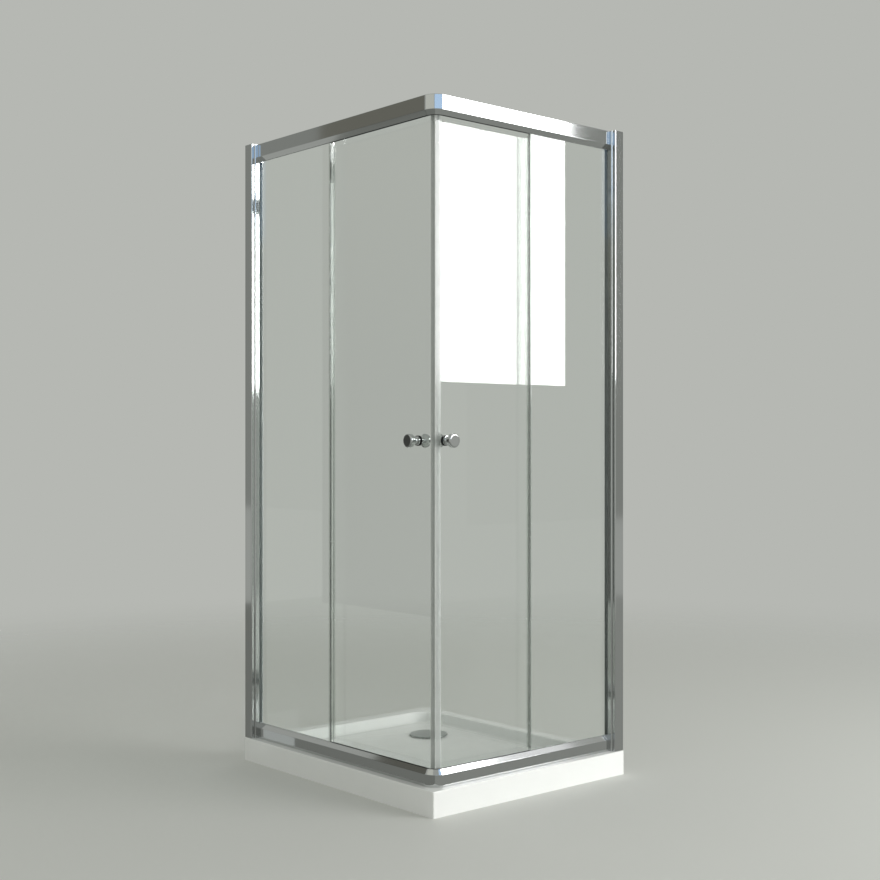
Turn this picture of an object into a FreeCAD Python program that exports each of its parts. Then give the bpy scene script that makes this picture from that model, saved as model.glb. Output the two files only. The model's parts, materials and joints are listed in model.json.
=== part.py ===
import FreeCAD, Part
import math
import os
import re
import Sketcher

# Corner-entry shower cabin: a low tray, a chromed aluminium frame on its two open sides,
# a fixed glass pane beside each wall and two glass doors that meet at the outer corner and
# slide behind the fixed panes on grooved rollers.
#
# Frame of the model: +Z up, origin under the middle of the tray, on the floor. The right
# side runs along +X and the left side along +Y, and both start at the outer corner.
# Beside each side, "along" is measured from the outer corner of the tray, "inward" from
# the tray's outer face, "depth" inward from the rail's outer face and "off_wall" back from
# the wall. Rail heights are measured from the seat on the tray, or down from the head.

SIZES = {
    # Tray and basin
    "tray_long": 900,
    "tray_short": 750,
    "tray_height": 70,
    "tray_corner": 4,
    "rim_edge": 3,
    "rim_front": 96,
    "rim_wall": 44,
    "basin_corner": 70,
    "basin_run": 22,
    "basin_depth": 30,
    "basin_fall": 6,
    "basin_lip": 8,
    "basin_foot": 16,
    "apron": 12,
    "floor_skin": 12,
    "rib": 8,
    # Waste and its cover
    "drain_radius": 42,
    "drain_flange": 56,
    "flange_plate": 2.5,
    "gasket_plate": 1.5,
    "drain_shell": 4,
    "outlet_radius": 20,
    "outlet_floor": 8,
    "nut_height": 8,
    "nut_wall": 7,
    "cover_radius": 60,
    "cover_plate": 3,
    "cover_crown": 2,
    "cover_lift": 3,
    "cover_foot": 5,
    "thread_gap": 0.05,
    # Frame
    "frame_height": 1840,
    "setback": 22,
    "rail_wall": 2,
    "bottom_face": 33,
    "top_face": 40,
    "bevel_run": 7.5,
    "bevel_rise": 14,
    "edge_round": 1.5,
    "groove_floor": 34,
    "rail_depth": 54,
    "upstand": 7,
    "bead_width": 3,
    "bead_height": 4.5,
    "port_radius": 4.2,
    "port_low": 9,
    "port_high": 26,
    "corner_radius": 40,
    "corner_notch": 16,
    "tongue_length": 26,
    "slip": 0.3,
    # Wall profiles and posts
    "profile_out": 18,
    "flange_length": 35,
    "lip_round": 3,
    "post_out": 8,
    "post_back": 6,
    "post_in": 25,
    "post_reach": 39,
    "nose_round": 4,
    "post_pocket": 16,
    "pocket_lip": 5.5,
    "wall_hole": 4,
    "wall_hole_span": 1400,
    # Glass, gaskets and seals
    "glass": 5,
    "gasket": 1,
    "glass_pitch": 26.5,
    "door_margin": 6,
    "door_start": 69,
    "left_fixed": 407,
    "right_fixed": 362,
    "overlap": 20,
    "seal_leg": 1.5,
    "seal_grip": 6,
    "magnet_gap": 0.2,
    "fin_gap": 0.25,
    "fin_reach": 12,
    "seal_clear": 2,
    # Rollers
    "wheel_radius": 11,
    "wheel_width": 7,
    "wheel_groove": 3,
    "groove_play": 0.3,
    "pin_radius": 3,
    "pin_gap": 0.06,
    "pin_head": 4.5,
    "pin_head_plate": 0.9,
    "wheel_side_gap": 0.3,
    "roller_inset": 60,
    "boss_radius": 8,
    "hole_radius": 6,
    "hole_gap": 0.1,
    "stud_radius": 4,
    "stud_length": 7,
    "cap_radius": 13,
    "cap_length": 10,
    "cap_round": 3,
    # Release units of the lower rollers
    "stroke": 5,
    "arm_rise": 7,
    "shank_radius": 5,
    "slot_gap": 0.4,
    "arm_width": 14,
    "housing_width": 38,
    "housing_low": 8,
    "housing_high": 36,
    "housing_depth": 10,
    "housing_wall": 2,
    "block_width": 16,
    "block_height": 10,
    "block_gap": 0.3,
    "tab_width": 10,
    "tab_height": 5,
    "tab_reach": 4,
    "peg_radius": 3.5,
    "peg_spread": 14,
    "peg_lip": 1,
    "spring_radius": 2.9,
    "spring_wire": 0.8,
    # Knobs
    "left_knob": 130,
    "right_knob": 94,
    "knob_height": 990,
    "knob_length": 36,
    "knob_head": 19,
    "knob_head_depth": 12,
    "knob_edge": 4,
    "knob_base": 13,
    "knob_base_depth": 4,
    "knob_neck": 8,
    "knob_ring": 10.5,
    "knob_ring_at": 11,
    "knob_ring_depth": 3,
    "knob_flare": 8,
    "inner_knob_length": 28,
    "inner_head_depth": 8,
    "inner_flare": 6,
    "knob_bore": 14,
    "knob_stud": 3,
    "washer_radius": 14,
    "washer_plate": 2,
    "washer_collar": 2.2,
    # Door stops and screws
    "knob_clear": 16,
    "open_gap": 70,
    "stop_length": 12,
    "stop_height": 17,
    "stop_gap": 0.5,
    "screw_radius": 2,
    "screw_hole_gap": 0.06,
    "screw_length": 15,
    "screw_head": 3.8,
    "screw_head_depth": 2,
    "post_screw_length": 7,
    "post_screw_inset": 150,
    "post_screw_off_wall": 14,
}

PLACES = {
    "corner_x": "-tray_short / 2",
    "corner_y": "-tray_long / 2",
    "drain_x": "tray_short / 4",
    "drain_y": "tray_long / 4",
    "basin_edge": "tray_height - basin_depth",
    "drain_floor": "tray_height - basin_depth - basin_fall",
    "under_floor": "tray_height - basin_depth - basin_fall - floor_skin",
    "recess_floor": "drain_floor - flange_plate - gasket_plate",
    "seat": "tray_height",
    "head": "tray_height + frame_height",
    "bottom_rise": "bottom_face + bevel_rise",
    "top_rise": "top_face + bevel_rise",
    "bevel_length": "sqrt(bevel_run ^ 2 + bevel_rise ^ 2)",
    "bevel_skin": "rail_wall * bevel_length / bevel_run",
    "bevel_cut": "edge_round * (bevel_length - bevel_rise) / bevel_run",
    "pane_out": "bevel_run + gasket",
    "groove_in": "bevel_run + 2 * gasket + glass",
    "web_in": "groove_in + rail_wall",
    "door_out": "pane_out + glass_pitch",
    "door_in": "door_out + glass",
    "ledge_under": "groove_floor - rail_wall",
    "bead_tip": "ledge_under - bead_height",
    "wheel_at": "web_in + pin_head_plate + 2 * wheel_side_gap + wheel_width / 2",
    "axle_height": "bead_tip - groove_play + wheel_groove - wheel_radius",
    "rail_start": "setback + corner_radius",
    "profile_in": "post_in + slip + rail_wall",
    "pane_edge": "post_reach - post_pocket + gasket",
    "port_at": "rail_wall + port_radius - slip",
    "door_low": "seat + door_margin",
    "door_rise": "frame_height - 2 * door_margin",
    "between_low": "seat + bottom_rise",
    "between_rise": "frame_height - bottom_rise - top_rise",
    "shank_height": "axle_height + arm_rise",
    "left_pane": "tray_long - left_fixed",
    "right_pane": "tray_short - right_fixed",
    "left_trail": "left_pane + overlap",
    "right_trail": "right_pane + overlap",
    "knob_reach": "knob_head + knob_clear",
    "left_travel": "min(left_pane - left_knob - knob_reach; tray_long - left_trail - open_gap)",
    "right_travel": "min(right_pane - right_knob - knob_reach; tray_short - right_trail - open_gap)",
}

POST_SCREW_HEIGHTS = (
    "seat + post_screw_inset",
    "seat + frame_height / 2",
    "head - post_screw_inset",
)
SPRING_TURNS = 5

RUN = {"left": "tray_long", "right": "tray_short"}
ENDS = {"front": "(door_start + roller_inset)", "rear": "({side}_trail - roller_inset)"}
INWARD = {"left": FreeCAD.Vector(1, 0, 0), "right": FreeCAD.Vector(0, 1, 0)}
ALONG = {"left": FreeCAD.Vector(0, 1, 0), "right": FreeCAD.Vector(1, 0, 0)}
# Planes square to a side's length and parallel to its face, and whether growing along or
# inward runs against the plane's own direction.
SECTION = {"left": ("XZ_Plane", True), "right": ("YZ_Plane", False)}
FACE = {"left": ("YZ_Plane", False), "right": ("XZ_Plane", True)}
UP = FreeCAD.Vector(0, 0, 1)

doc = FreeCAD.newDocument("shower_cabin")
nodes = []


def fill_sheet(name, rows):
    sheet = doc.addObject("Spreadsheet::Sheet", name)
    for row, (alias, content) in enumerate(rows.items(), 1):
        sheet.set(f"A{row}", alias)
        sheet.set(f"B{row}", content)
        sheet.setAlias(f"B{row}", alias)
    doc.recompute()
    return sheet


def ref(text):
    """The same expression with each name pointing at its sheet."""

    def whole(found):
        word = found.group(0)
        if word in SIZES:
            return "Sizes." + word
        return "Places." + word if word in PLACES else word

    return re.sub(r"[a-z][a-z_]*", whole, text)


fill_sheet("Sizes", {name: str(number) for name, number in SIZES.items()})
places = fill_sheet(
    "Places",
    {name: "=" + ref(rule).replace("Places.", "") for name, rule in PLACES.items()},
)


def value(text):
    return float(places.evalExpression(ref(text)))


def plan(side, along, inward):
    """Floor-plan point of a side, as x and y from the tray's outer corner."""
    return (along, inward) if side == "right" else (inward, along)


def plan_loop(side, corners, off_wall=False):
    """Corners given as along and depth, or as off_wall and depth, laid on the floor plan."""
    hand = 1 if (side == "right") != off_wall else -1
    laid = []
    for corner in corners:
        along = f"{RUN[side]} - ({corner[0]})" if off_wall else corner[0]
        spot = plan(side, along, f"setback + ({corner[1]})")
        laid.append(spot if len(corner) == 2 else (*spot, corner[2], hand * corner[3]))
    return laid


def flip_loop(level, corners):
    """Corners given as depth and height above the seat, or hung from the head."""
    if level == "bottom":
        return corners
    return [
        (c[0], f"-({c[1]})") if len(c) == 2 else (c[0], f"-({c[1]})", c[2], -c[3])
        for c in corners
    ]


def settle(thing, x, y, z, turn=None):
    """Bind an object's place to the sheet, after an optional fixed turn."""
    if turn:
        thing.Placement = FreeCAD.Placement(FreeCAD.Vector(), turn)
    for axis, rule in zip("xyz", (x, y, z)):
        thing.setExpression(f"Placement.Base.{axis}", ref(rule))
    return thing


def settle_beside(thing, side, along, depth, z, direction=UP):
    """Place an object beside a side, with its own +Z turned to the given direction."""
    x, y = plan(side, along, f"setback + ({depth})")
    turn = FreeCAD.Rotation(UP, direction)
    return settle(thing, f"corner_x + {x}", f"corner_y + {y}", z, turn)


def new_body(label, x="0", y="0", z="0"):
    body = doc.addObject("PartDesign::Body", label)
    body.Label = label
    return settle(body, x, y, z)


def corner_body(label, z="0"):
    return new_body(label, "corner_x", "corner_y", z)


def keep(thing, label):
    """Name a finished piece, which gets its own file."""
    thing.Label = label
    nodes.append(thing)
    return thing


def pin_point(drawn, geometry, position, x, y):
    for kind, rule in (("DistanceX", x), ("DistanceY", y)):
        bound = Sketcher.Constraint(kind, -1, 1, geometry, position, value(rule))
        drawn.setExpression(f"Constraints[{drawn.addConstraint(bound)}]", ref(rule))


def bind_radius(drawn, geometry, rule):
    index = drawn.addConstraint(Sketcher.Constraint("Radius", geometry, value(rule)))
    drawn.setExpression(f"Constraints[{index}]", ref(rule))


def draw_circle(drawn, x, y, radius):
    centre = FreeCAD.Vector(value(x), value(y), 0)
    geometry = drawn.addGeometry(Part.Circle(centre, UP, value(radius)), False)
    pin_point(drawn, geometry, 3, x, y)
    bind_radius(drawn, geometry, radius)


def draw_side(drawn, start, stop, bend):
    """A straight side, or an arc of the bend's radius that turns left (1) or right (-1)."""
    if not bend:
        return drawn.addGeometry(Part.LineSegment(start, stop), False), 1, 2
    radius, turn = value(bend[0]), bend[1]
    half = (stop - start) / 2
    reach = math.sqrt(max(radius**2 - half.Length**2, 0))
    square = FreeCAD.Vector(-half.y, half.x, 0).normalize()
    centre = start + half + square * reach * turn
    first, last = (start, stop) if turn > 0 else (stop, start)
    angles = [math.atan2(p.y - centre.y, p.x - centre.x) for p in (first, last)]
    circle = Part.Circle(centre, UP, radius)
    geometry = drawn.addGeometry(Part.ArcOfCircle(circle, *angles), False)
    bind_radius(drawn, geometry, bend[0])
    return (geometry, 1, 2) if turn > 0 else (geometry, 2, 1)


def draw_corners(drawn, corners):
    points = [FreeCAD.Vector(value(c[0]), value(c[1]), 0) for c in corners]
    sides = []
    for index, corner in enumerate(corners):
        stop = points[(index + 1) % len(points)]
        sides.append(draw_side(drawn, points[index], stop, corner[2:]))
    for index, (geometry, first, _) in enumerate(sides):
        before, _, last = sides[index - 1]
        drawn.addConstraint(Sketcher.Constraint("Coincident", before, last, geometry, first))
        pin_point(drawn, geometry, first, *corners[index][:2])


def sketch(body, plane, loops, lift=None):
    """Closed loops on one of the body's own planes: a list of corners, or a circle."""
    drawn = body.newObject("Sketcher::SketchObject", body.Name + "_outline")
    roles = {feature.Role: feature for feature in body.Origin.OriginFeatures}
    drawn.AttachmentSupport = [(roles[plane], "")]
    drawn.MapMode = "FlatFace"
    if lift:
        drawn.setExpression("AttachmentOffset.Base.z", ref(lift))
    for loop in loops:
        if isinstance(loop, tuple):
            draw_circle(drawn, *loop)
        else:
            draw_corners(drawn, loop)
    return drawn


def grow(body, kind, drawn, length, reverse=False):
    """Pad or Pocket a sketch by a bound length."""
    feature = body.newObject("PartDesign::" + kind, body.Name + "_" + kind.lower())
    feature.Profile = drawn
    feature.Reversed = reverse
    feature.setExpression("Length", ref(length))
    return feature


def pad(body, plane, loops, length, reverse=False, lift=None):
    return grow(body, "Pad", sketch(body, plane, loops, lift), length, reverse)


def cut_away(body, plane, loops, length, reverse=False, lift=None):
    """Pocket a sketch, and make sure that it took material away."""
    doc.recompute()
    before = body.Shape.Volume
    pocket = grow(body, "Pocket", sketch(body, plane, loops, lift), length, reverse)
    doc.recompute()
    if body.Shape.Volume >= before:
        raise RuntimeError(f"{pocket.Label} cut nothing")
    return pocket


def box_loop(low_x, low_y, high_x, high_y):
    return [(low_x, low_y), (high_x, low_y), (high_x, high_y), (low_x, high_y)]


def round_box_loop(low_x, low_y, high_x, high_y, radius):
    """A rectangle with rounded corners, walked anticlockwise."""
    return [
        (f"{low_x} + {radius}", low_y),
        (f"{high_x} - {radius}", low_y, radius, 1),
        (high_x, f"{low_y} + {radius}"),
        (high_x, f"{high_y} - {radius}", radius, 1),
        (f"{high_x} - {radius}", high_y),
        (f"{low_x} + {radius}", high_y, radius, 1),
        (low_x, f"{high_y} - {radius}"),
        (low_x, f"{low_y} + {radius}", radius, 1),
    ]


def turned(label, profile):
    """A turned piece: radius and height corners spun about its own Z axis."""
    body = new_body(label)
    drawn = sketch(body, "XZ_Plane", [profile])
    spin = body.newObject("PartDesign::Revolution", label + "_spin")
    spin.Profile = drawn
    spin.ReferenceAxis = (drawn, ["V_Axis"])
    spin.Angle = 360
    return body


def bore(side, along, depth, z, direction, radius, length):
    """A drill: a cylinder beside a side, starting at the given point."""
    drill = doc.addObject("Part::Cylinder", "drill")
    drill.setExpression("Radius", ref(radius))
    drill.setExpression("Height", ref(length))
    return settle_beside(drill, side, along, depth, z, direction)


def drilled(label, blank, drills):
    """The blank with every drill taken out of it."""
    tools = doc.addObject("Part::Compound", label + "_drills")
    tools.Links = drills
    cut = doc.addObject("Part::Cut", label)
    cut.Base = blank
    cut.Tool = tools
    return keep(cut, label)


def group(label, pieces):
    bundle = doc.addObject("Part::Compound", label)
    bundle.Links = pieces
    return keep(bundle, label)


def level_base(level):
    return "seat" if level == "bottom" else "head"


def level_height(level, height):
    """A height above the floor, from a height above the seat or below the head."""
    return f"seat + ({height})" if level == "bottom" else f"head - ({height})"


def roller_at(side, end):
    return ENDS[end].format(side=side)


# Shower tray: an apron to the floor, a flat rim for the frame, and a basin whose floor
# falls to the waste. Its underside is ribbed, as on a cast tray.


def basin_section(body, inset, height):
    loop = round_box_loop(
        f"rim_front + {inset}",
        f"rim_front + {inset}",
        f"tray_short - rim_wall - {inset}",
        f"tray_long - rim_wall - {inset}",
        f"(basin_corner - {inset})",
    )
    return sketch(body, "XY_Plane", [loop], height)


def drain_section(body, height):
    reach = "(cover_radius + cover_lift)"
    x, y = "(drain_x - corner_x)", "(drain_y - corner_y)"
    loop = round_box_loop(
        f"{x} - {reach}", f"{y} - {reach}", f"{x} + {reach}", f"{y} + {reach}", "cover_radius"
    )
    return sketch(body, "XY_Plane", [loop], height)


def hollow_under_tray(body, columns=4, rows=5):
    """Pockets between the ribs of the underside."""
    cell_x = f"(tray_short - 2 * apron - {columns - 1} * rib) / {columns}"
    cell_y = f"(tray_long - 2 * apron - {rows - 1} * rib) / {rows}"
    cells = []
    for column in range(columns):
        for row in range(rows):
            x = f"apron + {column} * ({cell_x} + rib)"
            y = f"apron + {row} * ({cell_y} + rib)"
            cells.append(box_loop(x, y, f"{x} + {cell_x}", f"{y} + {cell_y}"))
    cut_away(body, "XY_Plane", cells, "under_floor", True)
    x, y = "drain_x - corner_x", "drain_y - corner_y"
    clear = "drain_radius + nut_wall + rib"
    cut_away(body, "XY_Plane", [(x, y, clear)], "under_floor", True)


def hollow_out(body, upper, lower):
    """Cut away what lies between two sections."""
    loft = body.newObject("PartDesign::SubtractiveLoft", "hollow")
    loft.Profile = upper
    loft.Sections = [lower]
    loft.Ruled = True
    return loft


def round_edges(body, feature, height, radius, within=None):
    """Round the feature's edges at one height, or only those so far inside the outline."""
    doc.recompute()
    level = value(height)
    chosen = []
    for index, edge in enumerate(feature.Shape.Edges, 1):
        box = edge.BoundBox
        flat = max(abs(box.ZMin - level), abs(box.ZMax - level)) < value("thread_gap")
        if flat and (not within or min(box.XMin, box.YMin) > value(within)):
            chosen.append(f"Edge{index}")
    fillet = body.newObject("PartDesign::Fillet", "rounded")
    fillet.Base = (feature, chosen)
    fillet.setExpression("Radius", ref(radius))
    return fillet


def shower_tray():
    body = corner_body("shower_tray")
    blank = pad(
        body,
        "XY_Plane",
        [round_box_loop("0", "0", "tray_short", "tray_long", "tray_corner")],
        "tray_height",
    )
    round_edges(body, blank, "tray_height", "rim_edge")
    wall = hollow_out(
        body,
        basin_section(body, "0", "tray_height"),
        basin_section(body, "basin_run", "basin_edge"),
    )
    foot = round_edges(body, wall, "basin_edge", "basin_foot")
    round_edges(body, foot, "tray_height", "basin_lip", "rim_front / 2")
    hollow_out(
        body,
        basin_section(body, "(basin_run + basin_foot)", "basin_edge"),
        drain_section(body, "drain_floor"),
    )
    hollow_under_tray(body)
    x, y = "drain_x - corner_x", "drain_y - corner_y"
    recess = "drain_flange + slip"
    depth = "flange_plate + gasket_plate"
    cut_away(body, "XY_Plane", [(x, y, recess)], depth, lift="drain_floor")
    hole = "drain_radius + thread_gap"
    cut_away(body, "XY_Plane", [(x, y, hole)], "tray_height", lift="drain_floor")
    keep(body, "shower_tray")


def at_drain(body, height="0"):
    return settle(body, "drain_x", "drain_y", height)


def waste():
    """Waste body with its flange in the basin, a gasket, and a back nut with six lugs."""
    lip = "drain_floor - flange_plate"
    shell = turned(
        "drain_body",
        [
            ("outlet_radius", "0"),
            ("outlet_radius + drain_shell", "0"),
            ("outlet_radius + drain_shell", "outlet_floor - drain_shell"),
            ("drain_radius", "outlet_floor - drain_shell"),
            ("drain_radius", lip),
            ("drain_flange", lip),
            ("drain_flange", "drain_floor"),
            ("drain_radius - drain_shell", "drain_floor"),
            ("drain_radius - drain_shell", "outlet_floor"),
            ("outlet_radius", "outlet_floor"),
        ],
    )
    keep(at_drain(shell), "drain_body")
    ring = turned(
        "drain_gasket",
        box_loop("drain_radius + thread_gap", "recess_floor", "drain_flange", lip),
    )
    keep(at_drain(ring), "drain_gasket")
    nut = new_body("drain_nut")
    rim = "(drain_radius + nut_wall)"
    rings = [("0", "0", rim), ("0", "0", "drain_radius + thread_gap")]
    pad(nut, "XY_Plane", rings, "nut_height")
    for turn in range(0, 360, 60):
        lug = (f"{rim} * cos({turn})", f"{rim} * sin({turn})", "nut_wall / 2")
        pad(nut, "XY_Plane", [lug], "nut_height")
    keep(at_drain(nut, "under_floor - nut_height"), "drain_nut")


def drain_cover():
    base = "drain_floor"
    cover = turned(
        "drain_cover",
        [
            ("0", f"{base} + cover_lift"),
            ("cover_radius - cover_plate", f"{base} + cover_lift"),
            ("cover_radius", f"{base} + cover_lift", "cover_plate", 1),
            ("cover_radius - cover_plate", f"{base} + cover_lift + cover_plate"),
            ("0", f"{base} + cover_lift + cover_plate + cover_crown"),
        ],
    )
    ring = "(drain_flange - cover_foot)"
    for turn in (90, 210, 330):
        foot = (f"{ring} * cos({turn})", f"{ring} * sin({turn})", "cover_foot")
        pad(cover, "XY_Plane", [foot], "cover_lift", lift=base)
    keep(at_drain(cover), "drain_cover")


# Frame: rails with the same track, upright on the tray and, with a taller face, upside down
# at the head, rounded corner pieces, and posts that telescope into the wall profiles.


def rail_face(level):
    """The rail's outer face between its two rounded edges, from the bevel down to the base."""
    share, face = "bevel_cut / bevel_length", f"{level}_face"
    return [
        (f"{share} * bevel_run", f"{face} + {share} * bevel_rise", "edge_round", 1),
        ("0", f"{face} - bevel_cut"),
        ("0", "edge_round", "edge_round", 1),
        ("edge_round", "0"),
    ]


def rail_outer(level):
    edge, tip, top = "bead_width / 2", "bead_tip", f"{level}_rise"
    return [
        ("rail_depth", "0"),
        ("rail_depth", "upstand"),
        ("rail_depth - rail_wall", "upstand"),
        ("rail_depth - rail_wall", "rail_wall"),
        ("web_in", "rail_wall"),
        ("web_in", "ledge_under"),
        (f"wheel_at - {edge}", "ledge_under"),
        (f"wheel_at - {edge}", f"{tip} + {edge}", edge, 1),
        ("wheel_at", tip, edge, 1),
        (f"wheel_at + {edge}", f"{tip} + {edge}"),
        (f"wheel_at + {edge}", "groove_floor"),
        ("web_in", "groove_floor"),
        ("web_in", top),
        ("groove_in", top),
        ("groove_in", "groove_floor"),
        ("bevel_run", "groove_floor"),
        ("bevel_run", top),
        *rail_face(level),
    ]


def rail_chamber(level):
    slope, face = "bevel_rise / bevel_run", f"{level}_face"
    inner = "(bevel_run - rail_wall)"
    return [
        ("rail_wall", "rail_wall"),
        ("groove_in", "rail_wall"),
        ("groove_in", "ledge_under"),
        (inner, "ledge_under"),
        (inner, f"{face} + {inner} * {slope} - bevel_skin"),
        ("rail_wall", f"{face} + rail_wall * {slope} - bevel_skin"),
    ]


def rail(side, level):
    label = f"{level}_rail_{side}"
    blank = new_body(label + "_blank")
    x, y = plan(side, "rail_start", "setback")
    settle(blank, f"corner_x + {x}", f"corner_y + {y}", level_base(level))
    plane, reverse = SECTION[side]
    length = f"{RUN[side]} - post_reach - rail_start"
    loops = [flip_loop(level, part(level)) for part in (rail_outer, rail_chamber)]
    pad(blank, plane, loops, length, reverse)
    for height in ("port_low", "port_high"):
        spot = flip_loop(level, [("port_at", height)])[0]
        ring = [(*spot, "port_radius"), (*spot, "screw_radius + screw_hole_gap")]
        pad(blank, plane, ring, length, reverse)
    top = f"{level}_rise"
    notch = box_loop("corner_radius", f"-{top}", "rail_depth", top)
    cut_away(blank, plane, [notch], "corner_notch", not reverse)
    holes = [
        bore(
            side,
            "rail_start + tongue_length / 2",
            "groove_in",
            level_height(level, "groove_floor / 2"),
            INWARD[side],
            "screw_radius + screw_hole_gap",
            "rail_wall",
        )
    ]
    drilled(label, blank, holes)


def corner_piece(level):
    """Quarter-round corner with the rail's face and bevel, and a tongue into each rail."""
    label = f"{level}_corner"
    body = new_body(label + "_blank")
    axis = "setback + corner_radius"
    settle(body, f"corner_x + {axis}", f"corner_y + {axis}", level_base(level))
    top = f"{level}_rise"
    section = [
        ("corner_radius", "0"),
        ("corner_radius", "rail_wall"),
        ("web_in", "rail_wall"),
        ("web_in", top),
        ("groove_in", top),
        ("groove_in", "groove_floor"),
        ("bevel_run", "groove_floor"),
        ("bevel_run", top),
        *rail_face(level),
    ]
    loop = [(f"{c[0]} - corner_radius", *c[1:]) for c in flip_loop(level, section)]
    drawn = sketch(body, "XZ_Plane", [loop])
    sweep = body.newObject("PartDesign::Revolution", label + "_sweep")
    sweep.Profile = drawn
    sweep.ReferenceAxis = (drawn, ["V_Axis"])
    sweep.Angle = 90
    low, high = "rail_wall + slip", "ledge_under - slip"
    near, far = "port_at + port_radius + slip", "groove_in - slip"
    holes = []
    for side in RUN:
        plane, reverse = SECTION[side]
        tongue = box_loop(f"{near} - corner_radius", low, f"{far} - corner_radius", high)
        pad(body, plane, [flip_loop(level, tongue)], "tongue_length", reverse)
        holes.append(
            bore(
                side,
                "rail_start + tongue_length / 2",
                near,
                level_height(level, "groove_floor / 2"),
                INWARD[side],
                "screw_radius + screw_hole_gap",
                "groove_in",
            )
        )
    drilled(label, body, holes)


def wall_profile(side):
    """Channel fixed to the wall, with a rounded lip on its outer flange."""
    label = f"wall_profile_{side}"
    body = corner_body(label + "_blank", "seat")
    outer, lip = "-profile_out", "-(post_out + slip)"
    section = [
        ("0", outer),
        ("flange_length - lip_round", outer, "lip_round", 1),
        ("flange_length", f"{outer} + lip_round"),
        ("flange_length", lip),
        ("flange_length - rail_wall", lip),
        ("flange_length - rail_wall", f"{outer} + rail_wall"),
        ("rail_wall", f"{outer} + rail_wall"),
        ("rail_wall", "post_in + slip"),
        ("flange_length", "post_in + slip"),
        ("flange_length", "profile_in"),
        ("0", "profile_in"),
    ]
    pad(body, "XY_Plane", [plan_loop(side, section, True)], "frame_height")
    middle = "(profile_in - profile_out) / 2"
    holes = [
        bore(
            side,
            f"{RUN[side]} - rail_wall",
            middle,
            f"seat + frame_height / 2 + ({shift})",
            ALONG[side],
            "wall_hole",
            "rail_wall",
        )
        for shift in ("-wall_hole_span / 2", "wall_hole_span / 2")
    ]
    holes += [
        bore(
            side,
            f"{RUN[side]} - post_screw_off_wall",
            "post_in + slip",
            height,
            INWARD[side],
            "screw_radius + screw_hole_gap",
            "rail_wall",
        )
        for height in POST_SCREW_HEIGHTS
    ]
    drilled(label, body, holes)


def post(side):
    """Hollow upright with a rounded nose, and a pocket with a short inner lip for the pane."""
    label = f"post_{side}"
    body = corner_body(label + "_blank", "seat")
    outer = "-post_out"
    shell = [
        ("post_back", outer),
        ("post_reach - nose_round", outer, "nose_round", 1),
        ("post_reach", f"{outer} + nose_round"),
        ("post_reach", "post_in"),
        ("post_back", "post_in"),
    ]
    hollow = box_loop(
        "post_back + rail_wall",
        f"{outer} + rail_wall",
        "post_reach - rail_wall",
        "post_in - rail_wall",
    )
    loops = [plan_loop(side, shell, True), plan_loop(side, hollow, True)]
    pad(body, "XY_Plane", loops, "frame_height")
    floor = "post_reach - post_pocket"
    walls = box_loop(f"{floor} - rail_wall", "bevel_run - rail_wall", "post_reach", "post_in")
    rise = "frame_height - 2 * ledge_under"
    pad(body, "XY_Plane", [plan_loop(side, walls, True)], rise, lift="ledge_under")
    pocket = box_loop(floor, "bevel_run", "post_reach", "groove_in")
    rise = "frame_height - 2 * groove_floor"
    loop = plan_loop(side, pocket, True)
    cut_away(body, "XY_Plane", [loop], rise, True, lift="groove_floor")
    recess = [
        (floor, "web_in"),
        (f"{floor} + pocket_lip", "web_in"),
        (f"{floor} + pocket_lip", "groove_in"),
        ("post_reach", "groove_in"),
        ("post_reach", "post_in"),
        (floor, "post_in"),
    ]
    loop = plan_loop(side, recess, True)
    cut_away(body, "XY_Plane", [loop], "between_rise", True, lift="bottom_rise")
    holes = [
        bore(
            side,
            f"{RUN[side]} - post_screw_off_wall",
            "post_in - rail_wall",
            height,
            INWARD[side],
            "screw_radius + screw_hole_gap",
            "rail_wall",
        )
        for height in POST_SCREW_HEIGHTS
    ]
    holes += [
        bore(
            side,
            f"{RUN[side]} - post_reach",
            "port_at",
            level_height(level, height),
            ALONG[side],
            "screw_radius + screw_hole_gap",
            "rail_wall",
        )
        for level in ("bottom", "top")
        for height in ("port_low", "port_high")
    ]
    drilled(label, body, holes)


def screw(side, along, depth, z, direction, length="screw_length"):
    """Pan-head screw whose head seats at the given point and whose shank points along."""
    shank = turned(
        "screw",
        [
            ("0", "-screw_head_depth"),
            ("screw_head", "-screw_head_depth / 2"),
            ("screw_head", "0"),
            ("screw_radius", "0"),
            ("screw_radius", length),
            ("0", length),
        ],
    )
    return settle_beside(shank, side, along, depth, z, direction)


def screws():
    frame_screws = []
    post_screws = []
    for side in RUN:
        run = RUN[side]
        for level in ("bottom", "top"):
            for height in ("port_low", "port_high"):
                spot = (f"{run} - post_reach + rail_wall", "port_at")
                z = level_height(level, height)
                frame_screws.append(screw(side, *spot, z, -ALONG[side]))
            spot = ("rail_start + tongue_length / 2", "web_in")
            z = level_height(level, "groove_floor / 2")
            reach = "web_in - port_at - port_radius - 2 * slip"
            frame_screws.append(screw(side, *spot, z, -INWARD[side], reach))
        for height in POST_SCREW_HEIGHTS:
            spot = (f"{run} - post_screw_off_wall", "profile_in")
            post_screws.append(
                screw(side, *spot, height, -INWARD[side], "post_screw_length")
            )
    group("frame_screws", frame_screws)
    group("post_screws", post_screws)


# Fixed glazing: a pane in the rails' grooves and the post's pocket, bedded in gaskets,
# with a fin seal on its free edge.


def fixed_pane(side):
    x, y = plan(side, "0", "setback + pane_out")
    body = new_body(f"fixed_glass_{side}", f"corner_x + {x}", f"corner_y + {y}", "seat")
    plane, reverse = FACE[side]
    edge = "groove_floor + gasket"
    loop = box_loop(
        f"{side}_pane", edge, f"{RUN[side]} - pane_edge", f"frame_height - ({edge})"
    )
    pad(body, plane, [loop], "glass", reverse)
    keep(body, f"fixed_glass_{side}")


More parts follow.
